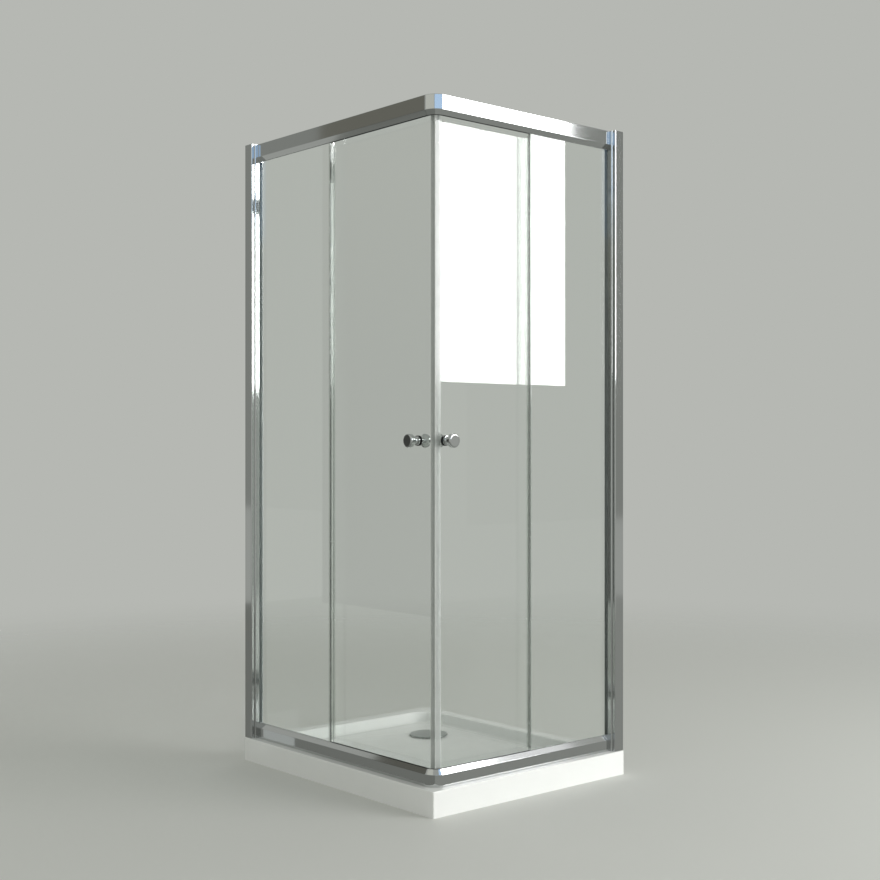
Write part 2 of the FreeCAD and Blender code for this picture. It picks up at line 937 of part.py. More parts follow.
def rail_gasket(side, level):
    x, y = plan(side, f"{side}_pane", "setback")
    body = new_body(
        f"{level}_gasket_{side}", f"corner_x + {x}", f"corner_y + {y}", level_base(level)
    )
    plane, reverse = SECTION[side]
    top = f"{level}_rise"
    channel = [
        ("bevel_run", "groove_floor"),
        ("groove_in", "groove_floor"),
        ("groove_in", top),
        ("groove_in - gasket", top),
        ("groove_in - gasket", "groove_floor + gasket"),
        ("pane_out", "groove_floor + gasket"),
        ("pane_out", top),
        ("bevel_run", top),
    ]
    length = f"{RUN[side]} - post_reach - {side}_pane"
    pad(body, plane, [flip_loop(level, channel)], length, reverse)
    return body


def post_gasket(side):
    body = corner_body(f"post_gasket_{side}", "seat + groove_floor")
    floor = "post_reach - post_pocket"
    channel = [
        (floor, "bevel_run"),
        ("post_reach", "bevel_run"),
        ("post_reach", "pane_out"),
        ("pane_edge", "pane_out"),
        ("pane_edge", "groove_in - gasket"),
        (f"{floor} + pocket_lip", "groove_in - gasket"),
        (f"{floor} + pocket_lip", "groove_in"),
        (floor, "groove_in"),
    ]
    rise = "frame_height - 2 * groove_floor"
    pad(body, "XY_Plane", [plan_loop(side, channel, True)], rise)
    return body


def pane_seal(side):
    """Soft channel on the pane's free edge, with a fin towards the door."""
    edge, leg = f"{side}_pane", "seal_leg"
    fin = f"{edge} + seal_grip - fin_gap"
    inner = "pane_out + glass"
    section = [
        (fin, f"pane_out - {leg}"),
        (f"{edge} - {leg}", f"pane_out - {leg}"),
        (f"{edge} - {leg}", f"{inner} + {leg}"),
        (f"{fin} - {leg}", f"{inner} + {leg}"),
        (f"{fin} - {leg}", f"{inner} + fin_reach"),
        (fin, f"{inner} + fin_reach"),
        (fin, inner),
        (edge, inner),
        (edge, "pane_out"),
        (fin, "pane_out"),
    ]
    body = corner_body(f"pane_seal_{side}", "between_low + seal_clear")
    pad(body, "XY_Plane", [plan_loop(side, section)], "between_rise - 2 * seal_clear")
    return body


def glazing():
    gaskets = []
    for side in RUN:
        fixed_pane(side)
        gaskets.append(post_gasket(side))
        for level in ("bottom", "top"):
            gaskets.append(rail_gasket(side, level))
    group("glazing_gaskets", gaskets)
    group("pane_seals", [pane_seal(side) for side in RUN])


# Doors: a toughened pane with a magnetic seal at the corner, a fin seal at its back edge,
# a pair of knobs, and rollers at its four corners.


def slot_loop(x, low, high, radius):
    """A hole with round ends, drawn out upwards."""
    return [
        (f"{x} + {radius}", low),
        (f"{x} + {radius}", high, radius, 1),
        (x, f"{high} + {radius}", radius, 1),
        (f"{x} - {radius}", high),
        (f"{x} - {radius}", low, radius, 1),
        (x, f"{low} - {radius}", radius, 1),
    ]


def door_pane(side):
    x, y = plan(side, "0", "setback + door_out")
    body = new_body(f"door_glass_{side}", f"corner_x + {x}", f"corner_y + {y}", "seat")
    plane, reverse = FACE[side]
    loops = [
        box_loop(
            "door_start", "door_margin", f"{side}_trail", "frame_height - door_margin"
        ),
        (f"{side}_knob", "knob_height - seat", "hole_radius"),
    ]
    for end in ENDS:
        x = roller_at(side, end)
        loops.append((x, "frame_height - axle_height", "hole_radius"))
        slot = "(shank_radius + slot_gap)"
        loops.append(slot_loop(x, "shank_height - stroke", "shank_height", slot))
        for shift in ("- peg_spread", "+ peg_spread"):
            loops.append((f"{x} {shift}", "shank_height", "peg_radius + hole_gap"))
    pad(body, plane, loops, "glass", reverse)
    keep(body, f"door_glass_{side}")


def magnetic_seal(side):
    """Soft channel on the leading edge, ending in a face at 45 degrees to meet its twin."""
    leg = "seal_leg"
    outer, inner = f"(door_out - {leg})", f"(door_in + {leg})"
    grip = "door_start + seal_grip"
    section = [
        (grip, outer),
        (f"setback + {outer} + magnet_gap / 2", outer),
        (f"setback + {inner} + magnet_gap / 2", inner),
        (grip, inner),
        (grip, "door_in"),
        ("door_start", "door_in"),
        ("door_start", "door_out"),
        (grip, "door_out"),
    ]
    near, far = "(door_out + seal_leg / 2)", "(door_in - seal_leg / 2)"
    back = "door_start - seal_leg"
    core = [
        (f"setback + {near} + 2 * {leg}", near),
        (f"setback + {far} + 2 * {leg}", far),
        (back, far),
        (back, near),
    ]
    body = corner_body(f"magnetic_seal_{side}", "door_low")
    loops = [plan_loop(side, section), plan_loop(side, core)]
    pad(body, "XY_Plane", loops, "door_rise")
    keep(body, f"magnetic_seal_{side}")
    strip = corner_body(f"magnet_strip_{side}", "door_low")
    pad(strip, "XY_Plane", [plan_loop(side, core)], "door_rise")
    keep(strip, f"magnet_strip_{side}")


def back_seal(side):
    """Soft channel on the trailing edge, with a fin that closes on the pane's fin."""
    edge, leg = f"{side}_trail", "seal_leg"
    start = f"{edge} - seal_grip"
    section = [
        (start, "door_out - fin_reach"),
        (f"{start} + {leg}", "door_out - fin_reach"),
        (f"{start} + {leg}", f"door_out - {leg}"),
        (f"{edge} + {leg}", f"door_out - {leg}"),
        (f"{edge} + {leg}", f"door_in + {leg}"),
        (start, f"door_in + {leg}"),
        (start, "door_in"),
        (edge, "door_in"),
        (edge, "door_out"),
        (start, "door_out"),
    ]
    body = corner_body(f"back_seal_{side}", "between_low + seal_clear")
    pad(body, "XY_Plane", [plan_loop(side, section)], "between_rise - 2 * seal_clear")
    keep(body, f"back_seal_{side}")


def knob_profile(length, head_depth, flare, ring):
    """Base flange, cove, neck, flare and a flat-faced head round a blind bore."""
    neck, head = "knob_neck", "knob_head"
    cove = "(knob_base - knob_neck)"
    head_start = f"{length} - {head_depth}"
    return [
        ("0", "knob_bore"),
        ("knob_stud + thread_gap", "knob_bore"),
        ("knob_stud + thread_gap", "0"),
        ("knob_base", "0"),
        ("knob_base", "knob_base_depth", cove, -1),
        (neck, f"knob_base_depth + {cove}"),
        *ring,
        (neck, f"{head_start} - {flare}"),
        (head, head_start),
        (head, f"{length} - knob_edge", "knob_edge", 1),
        (f"{head} - knob_edge", length),
        ("0", length),
    ]


def washer(side, depth, direction):
    """Black washer with a collar that centres it in the glass."""
    ring = turned(
        "washer",
        [
            ("knob_stud + thread_gap", "-washer_collar"),
            ("hole_radius - hole_gap", "-washer_collar"),
            ("hole_radius - hole_gap", "0"),
            ("washer_radius", "0"),
            ("washer_radius", "washer_plate"),
            ("knob_stud + thread_gap", "washer_plate"),
        ],
    )
    return settle_beside(ring, side, f"{side}_knob", depth, "knob_height", direction)


def knobs(side):
    """A long knob with a ring on its neck outside, and a short plain one inside."""
    ring_end = "knob_ring_at + knob_ring_depth"
    ring = [
        ("knob_neck", "knob_ring_at"),
        ("knob_ring", "knob_ring_at"),
        ("knob_ring", ring_end),
        ("knob_neck", ring_end),
    ]
    outer = knob_profile("knob_length", "knob_head_depth", "knob_flare", ring)
    inner = knob_profile("inner_knob_length", "inner_head_depth", "inner_flare", [])
    spots = {
        "outer": (outer, "door_out - washer_plate", -INWARD[side]),
        "inner": (inner, "door_in + washer_plate", INWARD[side]),
    }
    for name, (profile, depth, direction) in spots.items():
        knob = turned(f"{name}_knob_{side}", profile)
        settle_beside(knob, side, f"{side}_knob", depth, "knob_height", direction)
        keep(knob, f"{name}_knob_{side}")
    reach = "(knob_bore + washer_plate - pin_head_plate)"
    stud = turned(
        f"knob_stud_{side}", box_loop("0", "0", "knob_stud", f"glass + 2 * {reach}")
    )
    spot = (f"{side}_knob", f"door_out - {reach}", "knob_height")
    keep(settle_beside(stud, side, *spot, INWARD[side]), f"knob_stud_{side}")
    pair = [washer(side, "door_out", -INWARD[side]), washer(side, "door_in", INWARD[side])]
    group(f"knob_washers_{side}", pair)


def wheel_profile():
    """Grooved roller, centred on its width."""
    half, bottom = "wheel_width / 2", "wheel_radius - wheel_groove"
    floor = "(bead_width / 2 + groove_play)"
    inner = "pin_radius + pin_gap"
    return [
        (inner, f"-{half}"),
        ("wheel_radius", f"-{half}"),
        ("wheel_radius", f"-{floor} - 2 * groove_play"),
        (bottom, f"-{floor}"),
        (bottom, floor),
        ("wheel_radius", f"{floor} + 2 * groove_play"),
        ("wheel_radius", half),
        (inner, half),
    ]


def wheel(side, level, end):
    label = f"{level}_wheel_{side}_{end}"
    roller = turned(label, wheel_profile())
    spot = (roller_at(side, end), "wheel_at", level_height(level, "axle_height"))
    keep(settle_beside(roller, side, *spot, INWARD[side]), label)


def pin_corners():
    """Headed pin through a wheel, from its head to the boss against the glass."""
    start = "(-wheel_width / 2 - wheel_side_gap)"
    stop = "(wheel_width / 2 + wheel_side_gap)"
    return [
        ("0", f"{start} - pin_head_plate"),
        ("pin_head", f"{start} - pin_head_plate"),
        ("pin_head", start),
        ("pin_radius", start),
        ("pin_radius", stop),
    ], stop


def upper_roller_bolts(side):
    """Shouldered bolts that carry the upper wheels, and the capped nuts inside the door."""
    pin, stop = pin_corners()
    face, back = "(door_out - wheel_at)", "(door_in - wheel_at)"
    shank = "hole_radius - hole_gap"
    profile = pin + [
        ("boss_radius", stop),
        ("boss_radius", face),
        (shank, face),
        (shank, back),
        ("stud_radius", back),
        ("stud_radius", f"{back} + stud_length"),
        ("0", f"{back} + stud_length"),
    ]
    inner = "stud_radius + thread_gap"
    cap_profile = [
        (inner, "0"),
        ("cap_radius", "0"),
        ("cap_radius", "cap_length - cap_round", "cap_round", 1),
        ("cap_radius - cap_round", "cap_length"),
        ("0", "cap_length"),
        ("0", "stud_length + pin_gap"),
        (inner, "stud_length + pin_gap"),
    ]
    bolts = []
    caps = []
    for end in ENDS:
        along, z = roller_at(side, end), level_height("top", "axle_height")
        bolt = turned("roller_bolt", profile)
        bolts.append(settle_beside(bolt, side, along, "wheel_at", z, INWARD[side]))
        cap = turned("roller_cap", cap_profile)
        caps.append(settle_beside(cap, side, along, "door_in", z, INWARD[side]))
    group(f"roller_bolts_{side}", bolts)
    group(f"roller_caps_{side}", caps)


def upright_turn(side):
    """Turn that lays a piece's own X along a side and its own Y inward."""
    return FreeCAD.Rotation(UP, 0 if side == "right" else -90)


def settle_upright(thing, side, along, depth):
    x, y = plan(side, along, f"setback + ({depth})")
    return settle(thing, f"corner_x + {x}", f"corner_y + {y}", "seat", upright_turn(side))


def housing(side, end):
    """Moulded case inside the door, pegged through the glass, that guides the slider."""
    body = new_body("release_housing")
    half = "housing_width / 2"
    shell = box_loop(f"-{half}", "housing_low", half, "housing_high")
    pad(body, "XZ_Plane", [shell], "housing_depth", True)
    room = "block_width / 2 + block_gap"
    cavity = box_loop(
        f"-({room})", "housing_low + housing_wall", room, "housing_high - housing_wall"
    )
    cut_away(body, "XZ_Plane", [cavity], "housing_depth - housing_wall", False)
    tab = "tab_width / 2 + block_gap"
    low = "shank_height - stroke - tab_height / 2 - block_gap"
    window = box_loop(f"-({tab})", low, tab, "shank_height + tab_height / 2 + block_gap")
    cut_away(body, "XZ_Plane", [window], "housing_depth", False)
    for shift in ("-peg_spread", "peg_spread"):
        peg = (shift, "shank_height", "peg_radius")
        pad(body, "XZ_Plane", [peg], "glass + peg_lip", False)
        lip = (shift, "shank_height", "peg_radius + peg_lip")
        pad(body, "XZ_Plane", [lip], "peg_lip", False, lift="glass")
    return settle_upright(body, side, roller_at(side, end), "door_in")


def slider(side, end):
    """Spring-loaded slider: an arm with the wheel's pin outside the glass, a shank through
    its slot, and a block with a push tab in the case."""
    label = f"release_slider_{side}_{end}"
    body = new_body(label)
    half = "arm_width / 2"
    arm = slot_loop("0", "axle_height", "shank_height", half)
    reach = "(door_out - wheel_at - wheel_width / 2 - wheel_side_gap)"
    pad(body, "XZ_Plane", [arm], f"{reach} - slip", False, lift="glass + slip")
    shank = ("0", "shank_height", "shank_radius")
    pad(body, "XZ_Plane", [shank], "glass + slip + block_gap", False, lift="-block_gap")
    block = box_loop(
        "-block_width / 2",
        "shank_height - block_height / 2",
        "block_width / 2",
        "shank_height + block_height / 2",
    )
    depth = "(housing_depth - housing_wall - 2 * block_gap)"
    pad(body, "XZ_Plane", [block], depth, True, lift="-block_gap")
    tab = box_loop(
        "-tab_width / 2",
        "shank_height - tab_height / 2",
        "tab_width / 2",
        "shank_height + tab_height / 2",
    )
    pad(body, "XZ_Plane", [tab], "housing_depth + tab_reach - block_gap", True, lift="-block_gap")
    pin = ("0", "axle_height", "pin_radius")
    long_pin = "wheel_width + 2 * wheel_side_gap + pin_head_plate"
    start = f"glass + {reach}"
    pad(body, "XZ_Plane", [pin], long_pin, False, lift=start)
    head = ("0", "axle_height", "pin_head")
    lift = f"{start} + wheel_width + 2 * wheel_side_gap"
    pad(body, "XZ_Plane", [head], "pin_head_plate", False, lift=lift)
    keep(settle_upright(body, side, roller_at(side, end), "door_in"), label)


def bent(start, corner, stop):
    """The arc from start to stop whose end tangents meet at the corner."""
    chord = (start + stop) / 2
    half = (stop - start).Length / 2
    lean = math.acos(half / (corner - start).Length)
    crest = chord + (corner - chord).normalize() * half * math.tan(lean / 2)
    return Part.Arc(start, crest, stop).toShape()


def joined_arcs(start, leave, stop, arrive):
    """Two arcs from start to stop that leave and arrive along the given directions."""
    span, both = stop - start, leave + arrive
    room, lean = 4 - both.dot(both), span.dot(both)
    reach = (math.sqrt(lean**2 + room * span.dot(span)) - lean) / room
    near, far = start + leave * reach, stop - arrive * reach
    middle = (near + far) / 2
    return [bent(start, near, middle), bent(middle, far, stop)]


def spring(side, end):
    """Coil spring that pushes the slider up from the floor of its case."""
    radius, wire = value("spring_radius"), value("spring_wire")
    low = value("housing_low + housing_wall + pin_gap + spring_wire / 2")
    high = value("shank_height - block_height / 2 - pin_gap - spring_wire / 2")
    steps = 4 * SPRING_TURNS
    rise, quarter = (high - low) / steps, math.pi / 2
    spots = []
    headings = []
    for step in range(steps + 1):
        across, back = math.cos(step * quarter), math.sin(step * quarter)
        spots.append(FreeCAD.Vector(radius * across, radius * back, low + step * rise))
        heading = FreeCAD.Vector(-back, across, rise / (radius * quarter))
        headings.append(heading.normalize())
    arcs = []
    for step in range(steps):
        here, there = step, step + 1
        arcs += joined_arcs(spots[here], headings[here], spots[there], headings[there])
    ring = Part.Wire(Part.Circle(spots[0], headings[0], wire / 2).toShape())
    coil = doc.addObject("Part::Feature", f"release_spring_{side}_{end}")
    coil.Shape = Part.Wire(arcs).makePipeShell([ring], True, False)
    settle_upright(coil, side, roller_at(side, end), "door_in + (housing_depth - housing_wall) / 2")
    keep(coil, coil.Name)


def door_stop(side, along):
    """Rubber block astride the bead of the upper rail."""
    x, y = plan(side, along, "setback")
    body = new_body("door_stop", f"corner_x + {x}", f"corner_y + {y}", "head")
    plane, reverse = SECTION[side]
    edge, clear = "wheel_width / 2", "bead_width / 2 + slip"
    base, top = "ledge_under", "ledge_under - stop_height"
    saddle = [
        (f"wheel_at - {edge}", base),
        (f"wheel_at - ({clear})", base),
        (f"wheel_at - ({clear})", "bead_tip - slip"),
        (f"wheel_at + {clear}", "bead_tip - slip"),
        (f"wheel_at + {clear}", base),
        (f"wheel_at + {edge}", base),
        (f"wheel_at + {edge}", top),
        (f"wheel_at - {edge}", top),
    ]
    pad(body, plane, [flip_loop("top", saddle)], "stop_length", reverse)
    return body


def door_stops():
    stops = []
    for side in RUN:
        front, rear = roller_at(side, "front"), roller_at(side, "rear")
        shut = f"{front} - wheel_radius - stop_gap - stop_length"
        opened = f"{rear} + {side}_travel + wheel_radius + stop_gap"
        stops += [door_stop(side, shut), door_stop(side, opened)]
    group("door_stops", stops)


def door(side):
    door_pane(side)
    magnetic_seal(side)
    back_seal(side)
    knobs(side)
    upper_roller_bolts(side)
    group(f"release_housings_{side}", [housing(side, end) for end in ENDS])
    for end in ENDS:
        slider(side, end)
        spring(side, end)
        for level in ("top", "bottom"):
            wheel(side, level, end)


shower_tray()
waste()
drain_cover()
for face in RUN:
    wall_profile(face)
    post(face)
    for storey in ("bottom", "top"):
        rail(face, storey)
for storey in ("bottom", "top"):
    corner_piece(storey)
screws()
glazing()
door_stops()
for face in RUN:
    door(face)

doc.recompute()
for thing in doc.Objects:
    if {"Invalid", "Error"} & set(thing.State):
        raise RuntimeError(f"{thing.Label} did not build: {thing.State}")
for node in nodes:
    if node.Shape.isNull() or not node.Shape.isValid():
        raise RuntimeError(f"{node.Label} has no valid shape")

os.makedirs("parts", exist_ok=True)
for node in nodes:
    node.Shape.exportStep(f"parts/{node.Label}.step")
    print(node.Label, len(node.Shape.Solids), round(node.Shape.Volume), node.Shape.BoundBox)
print(len(nodes), "nodes")
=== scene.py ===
# %% [markdown]
# # A corner shower cabin
#
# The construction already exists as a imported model: a tray, a chromed frame, glass, seals,
# knobs and rollers, each piece with its true size. This lesson gives those pieces their
# finishes, shapes the small screws and springs again, and sets up a quiet studio with a
# camera. Nothing here moves or resizes a construction piece.

# %% Load the construction
import json
import math

import bpy
import numpy as np
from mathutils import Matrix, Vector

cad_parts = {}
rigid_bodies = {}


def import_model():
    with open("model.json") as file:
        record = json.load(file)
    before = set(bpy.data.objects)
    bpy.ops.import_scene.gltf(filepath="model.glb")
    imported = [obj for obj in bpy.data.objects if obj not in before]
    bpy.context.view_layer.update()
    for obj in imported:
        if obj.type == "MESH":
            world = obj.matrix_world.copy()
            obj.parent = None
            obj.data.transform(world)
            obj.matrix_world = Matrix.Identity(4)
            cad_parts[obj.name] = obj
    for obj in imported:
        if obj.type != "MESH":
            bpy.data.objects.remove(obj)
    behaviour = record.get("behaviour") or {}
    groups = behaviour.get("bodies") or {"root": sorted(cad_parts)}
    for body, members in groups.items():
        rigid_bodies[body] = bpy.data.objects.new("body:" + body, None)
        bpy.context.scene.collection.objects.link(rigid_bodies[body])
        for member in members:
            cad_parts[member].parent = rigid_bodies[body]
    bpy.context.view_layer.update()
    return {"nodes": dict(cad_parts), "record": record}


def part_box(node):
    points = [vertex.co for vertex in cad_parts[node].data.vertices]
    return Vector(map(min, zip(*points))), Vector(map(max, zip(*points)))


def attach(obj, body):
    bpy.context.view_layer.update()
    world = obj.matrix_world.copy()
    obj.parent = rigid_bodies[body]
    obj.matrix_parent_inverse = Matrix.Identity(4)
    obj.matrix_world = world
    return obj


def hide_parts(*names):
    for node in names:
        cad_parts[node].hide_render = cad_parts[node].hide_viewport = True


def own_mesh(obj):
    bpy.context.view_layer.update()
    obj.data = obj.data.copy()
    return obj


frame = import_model()
nodes = frame["nodes"]

# %% [markdown]
# ## Helpers for finishes
#
# A finish is a small tree of shader nodes. Colours are easiest to read as the hex values of
# a colour picker, but the renderer works in linear light, so one function converts them.
# Patterns are sized in millimetres: a texture's scale is how many of its features fit into
# one metre. A noise keeps mostly to the middle of its range from 0 to 1, so only that middle
# is spread over the values that it varies.

# %% Colour, scale and node helpers
NOISE_LOW, NOISE_HIGH = 0.3, 0.7


def linear(hex_colour):
    """sRGB hex to linear RGBA: divide by 12.92 near black, else a power of 2.4."""
    channels = np.array([int(hex_colour[i : i + 2], 16) for i in (1, 3, 5)]) / 255
    low, high = channels / 12.92, ((channels + 0.055) / 1.055) ** 2.4
    return (*np.where(channels <= 0.04045, low, high), 1.0)


def per_metre(millimetres):
    """How many features of one size fit into a metre."""
    return 1000 / millimetres


def new_finish(name):
    """A material without nodes yet."""
    material = bpy.data.materials.new(name)
    material.use_nodes = True
    material.node_tree.nodes.clear()
    return material


def add_node(finish, kind, settings, links=None):
    """Add one shader node, set its sockets or properties, and link other sockets into it."""
    node = finish.node_tree.nodes.new(kind)
    for name, value in settings.items():
        if isinstance(name, int) or name in node.inputs:
            node.inputs[name].default_value = value
        else:
            setattr(node, name, value)
    for name, source in (links or {}).items():
        finish.node_tree.links.new(source, node.inputs[name])
    return node


finishes = {}
print("a picker's middle grey is", round(linear("#808080")[0], 3), "in linear light")

# %% [markdown]
# ## Chromed aluminium
#
# The rails, posts and wall profiles are extruded aluminium, polished and chromed. Chrome
# shows no colour of its own: the eye reads it from what it mirrors, and from two faults of
# the making. The die leaves faint lines along the length, and polishing leaves the flat
# faces very slightly wavy. One noise stretched along the extrusion gives the lines, and a
# wide soft noise gives the waves. The lines are drawn coarser than real ones so that they
# show at this distance.

# %% Chrome on extrusions, one finish for each direction of the length
CHROME = "#c9cbcb"
CHROME_ROUGHNESS = 0.045, 0.075
DIE_LINE_MM, DIE_LINE_LENGTH_MM = 1.2, 900
POLISH_WAVE_MM = 140
POLISH_BUMP = {"Strength": 0.05, "Distance": 0.0001}


def chromed_extrusion(axis):
    """Chrome whose die lines run along one axis."""
    finish = new_finish("chromed aluminium along " + "XYZ"[axis])
    place = add_node(finish, "ShaderNodeTexCoord", {})
    stretch = [per_metre(DIE_LINE_MM)] * 3
    stretch[axis] = per_metre(DIE_LINE_LENGTH_MM)
    along = add_node(
        finish, "ShaderNodeMapping", {"Scale": stretch}, {"Vector": place.outputs["Object"]}
    )
    lines = add_node(
        finish, "ShaderNodeTexNoise", {"Scale": 1, "Detail": 2}, {"Vector": along.outputs[0]}
    )
    waves = add_node(
        finish,
        "ShaderNodeTexNoise",
        {"Scale": per_metre(POLISH_WAVE_MM), "Detail": 1},
        {"Vector": place.outputs["Object"]},
    )
    smooth, rough = CHROME_ROUGHNESS
    gloss = add_node(
        finish,
        "ShaderNodeMapRange",
        {"From Min": NOISE_LOW, "From Max": NOISE_HIGH, "To Min": smooth, "To Max": rough},
        {"Value": lines.outputs["Fac"]},
    )
    waved = add_node(finish, "ShaderNodeBump", POLISH_BUMP, {"Height": waves.outputs["Fac"]})
    metal = add_node(
        finish,
        "ShaderNodeBsdfPrincipled",
        {"Base Color": linear(CHROME), "Metallic": 1},
        {"Roughness": gloss.outputs[0], "Normal": waved.outputs[0]},
    )
    add_node(finish, "ShaderNodeOutputMaterial", {}, {"Surface": metal.outputs[0]})
    return finish


chromed_extrusions = [chromed_extrusion(axis) for axis in range(3)]
print(*(finish.name for finish in chromed_extrusions), sep=", ")

# %% [markdown]
# ## Turned and chromed pieces
#
# The knobs and the caps of the rollers are turned brass with the same chrome. They have no
# die lines, only the mirror and a trace of handling: blotches of a fingertip's size, of which
# only the stronger ones count.

# %% Chrome on turned pieces
BRASS_ROUGHNESS = 0.03, 0.09
HANDLING_MM, HANDLING_LOW = 9, 0.35
finish = new_finish("chromed brass")
place = add_node(finish, "ShaderNodeTexCoord", {})
handling = add_node(
    finish,
    "ShaderNodeTexNoise",
    {"Scale": per_metre(HANDLING_MM), "Detail": 3},
    {"Vector": place.outputs["Object"]},
)
smooth, rough = BRASS_ROUGHNESS
gloss = add_node(
    finish,
    "ShaderNodeMapRange",
    {"From Min": HANDLING_LOW, "From Max": NOISE_HIGH, "To Min": smooth, "To Max": rough},
    {"Value": handling.outputs["Fac"]},
)
metal = add_node(
    finish,
    "ShaderNodeBsdfPrincipled",
    {"Base Color": linear(CHROME), "Metallic": 1},
    {"Roughness": gloss.outputs[0]},
)
add_node(finish, "ShaderNodeOutputMaterial", {}, {"Surface": metal.outputs[0]})
finishes["chromed_brass"] = finish
print(finish.name, "with roughness", BRASS_ROUGHNESS)

# %% [markdown]
# ## Toughened glass
#
# Clear float glass is nearly invisible from the front and pale green through its edge. When
# it is toughened it rides on rollers in the furnace, and keeps a shallow wave of about a
# roller's spacing, which bends reflections a little. A lamp's rays would be stopped by a
# refracting solid, so for them alone the glass counts as a film. The film is grey: a pane turns
# part of the light away at each of its faces, and the rest of the grey is painted shade, which
# darkens the tray and all else lit through the glass.

# %% Glass
# The film's tint is greyer than a pane's own loss: the extra grey is painted shade inside the
# cabin.
GLASS_BODY, GLASS_FILM_WITH_SHADE, GLASS_IOR = "#f7faf8", "#dbdfdd", 1.52
ROLLER_WAVE_MM = 260
ROLLER_BUMP = {"Strength": 0.05, "Distance": 0.0004}
BAND = 2 * math.pi / 20  # metres after which a wave texture of scale 1 repeats
finish = new_finish("toughened float glass")
place = add_node(finish, "ShaderNodeTexCoord", {})
wave = add_node(
    finish,
    "ShaderNodeTexWave",
    {
        "bands_direction": "Z",
        "Scale": per_metre(ROLLER_WAVE_MM) * BAND,
        "Distortion": 0.6,
        "Detail": 1,
    },
    {"Vector": place.outputs["Object"]},
)
waved = add_node(finish, "ShaderNodeBump", ROLLER_BUMP, {"Height": wave.outputs["Fac"]})
glass = add_node(
    finish,
    "ShaderNodeBsdfPrincipled",
    {
        "Base Color": linear(GLASS_BODY),
        "Roughness": 0,
        "IOR": GLASS_IOR,
        "Transmission Weight": 1,
    },
    {"Normal": waved.outputs[0]},
)
film = add_node(finish, "ShaderNodeBsdfTransparent", {"Color": linear(GLASS_FILM_WITH_SHADE)})
path = add_node(finish, "ShaderNodeLightPath", {})
either = add_node(
    finish,
    "ShaderNodeMixShader",
    {},
    {"Fac": path.outputs["Is Shadow Ray"], 1: glass.outputs[0], 2: film.outputs[0]},
)
add_node(finish, "ShaderNodeOutputMaterial", {}, {"Surface": either.outputs[0]})
finishes["clear_glass"] = finish
print(finish.name, "with a wave every", ROLLER_WAVE_MM, "mm")

# %% [markdown]
# ## Clear vinyl
#
# The seals are extruded from soft clear vinyl. Their walls are thin and lie close to glass, so
# the bending of light is left out: a wall dims the view through it a little, adds a pale body,
# and has a smooth skin that mirrors bright things. Only the outer side of the skin mirrors, or
# light would be caught between the two sides of a wall. The seals at the corner are milky, and
# those along the panes nearly clear.

# %% Vinyl
VINYL_IOR = 1.53
VINYL_ROUGHNESS = 0.1, 0.18
CLOUD_MM = 4
MILK_DARK, MILK_LIGHT = "#eef1ef", "#f6f8f7"


def extruded_vinyl(name, tint, milkiness):
    """Thin vinyl: a view through in one tint, a share of milk, and a skin on the outside."""
    finish = new_finish(name)
    place = add_node(finish, "ShaderNodeTexCoord", {})
    cloud = add_node(
        finish,
        "ShaderNodeTexNoise",
        {"Scale": per_metre(CLOUD_MM), "Detail": 2},
        {"Vector": place.outputs["Object"]},
    )
    smooth, rough = VINYL_ROUGHNESS
    gloss = add_node(
        finish,
        "ShaderNodeMapRange",
        {"From Min": NOISE_LOW, "From Max": NOISE_HIGH, "To Min": smooth, "To Max": rough},
        {"Value": cloud.outputs["Fac"]},
    )
    tone = add_node(
        finish,
        "ShaderNodeMix",
        {"data_type": "RGBA", "A": linear(MILK_DARK), "B": linear(MILK_LIGHT)},
        {"Factor": cloud.outputs["Fac"]},
    )
    clear = add_node(finish, "ShaderNodeBsdfTransparent", {"Color": linear(tint)})
    milk = add_node(finish, "ShaderNodeBsdfDiffuse", {}, {"Color": tone.outputs["Result"]})
    body = add_node(
        finish,
        "ShaderNodeMixShader",
        {"Fac": milkiness},
        {1: clear.outputs[0], 2: milk.outputs[0]},
    )
    skin = add_node(finish, "ShaderNodeBsdfGlossy", {}, {"Roughness": gloss.outputs[0]})
    mirrored = add_node(finish, "ShaderNodeFresnel", {"IOR": VINYL_IOR})
    side = add_node(finish, "ShaderNodeNewGeometry", {})
    outside = add_node(
        finish,
        "ShaderNodeMath",
        {"operation": "SUBTRACT", 0: 1},
        {1: side.outputs["Backfacing"]},
    )
    share = add_node(
        finish,
        "ShaderNodeMath",
        {"operation": "MULTIPLY"},
        {0: mirrored.outputs[0], 1: outside.outputs[0]},
    )
    vinyl = add_node(
        finish,
        "ShaderNodeMixShader",
        {},
        {"Fac": share.outputs[0], 1: body.outputs[0], 2: skin.outputs[0]},
    )
    add_node(finish, "ShaderNodeOutputMaterial", {}, {"Surface": vinyl.outputs[0]})
    return finish


finishes["soft_vinyl"] = extruded_vinyl("milky vinyl", tint="#fbfcfb", milkiness=0.28)
finishes["pane_vinyl"] = extruded_vinyl("clear vinyl", tint="#f9faf9", milkiness=0.05)
print("two kinds of vinyl")

# %% [markdown]
# ## White acrylic
#
# The tray is formed from sanitary acrylic: a bright white with a deep even gloss, and a very
# slight orange peel from forming. A second coat layer would double the gloss, so the plain
# plastic reflection is enough, with a noise in its roughness for a surface that is wiped
# and not polished.

